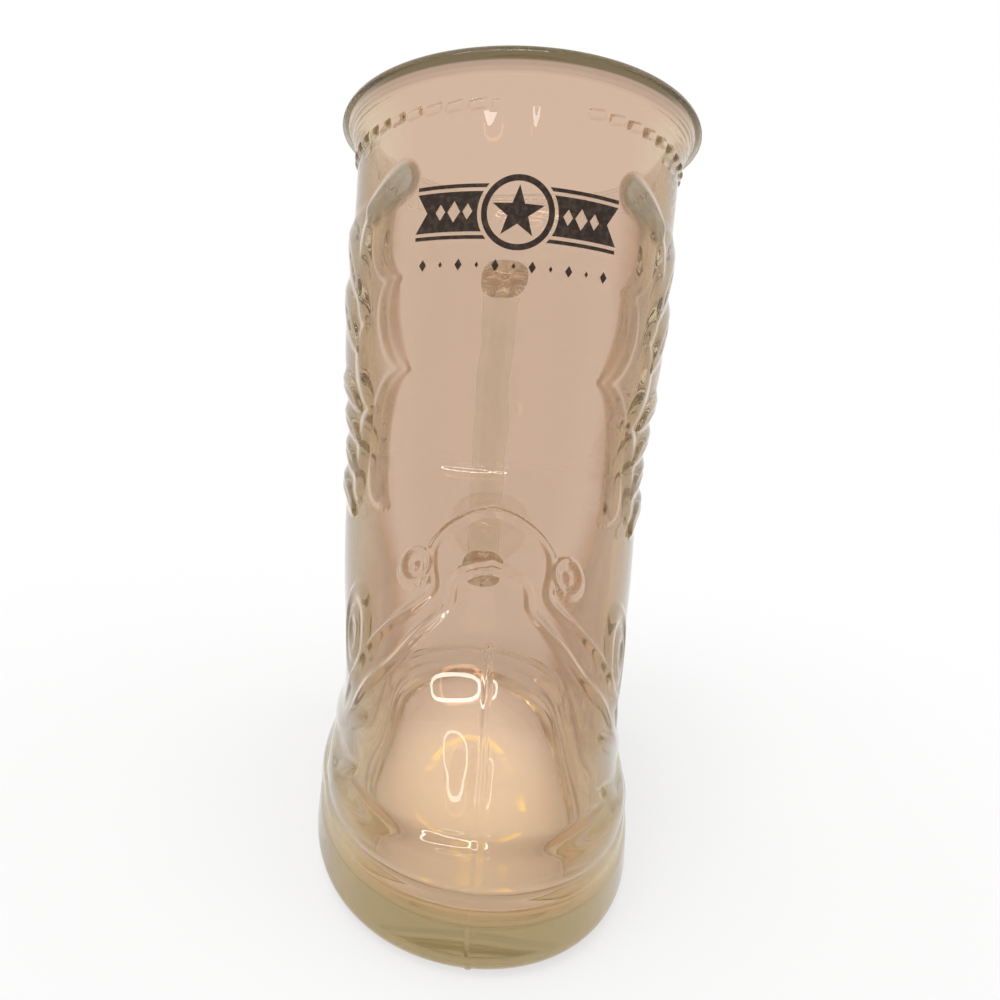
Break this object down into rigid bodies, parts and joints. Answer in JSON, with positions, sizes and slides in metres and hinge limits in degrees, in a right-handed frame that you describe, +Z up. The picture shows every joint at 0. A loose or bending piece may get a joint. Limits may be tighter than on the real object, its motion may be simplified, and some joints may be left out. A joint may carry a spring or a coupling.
{
  "type": "glass boot mug",
  "caption": "Clear pressed-glass drinking mug shaped like a cowboy boot, with scalloped side ornament, a glass handle at the back and a dark printed badge on the front.",
  "frame": {"origin": "middle of the mug's box, on the surface that it stands on", "axes": "+Z up through the mouth, toe to -Y, handle to +Y, +X to the right as seen from the toe"},
  "size_m": [0.0888, 0.1626, 0.156],
  "materials": {
    "glass": "fire-polished pressed glass, faintly warm, green in the thick parts",
    "ink": "fired dark brown ink"
  },
  "bodies": {
    "root": {"boot_body": "glass", "handle": "glass", "print_roundel": "ink", "print_band": "ink", "print_border": "ink", "print_rule": "ink"}
  },
  "joints": []
}
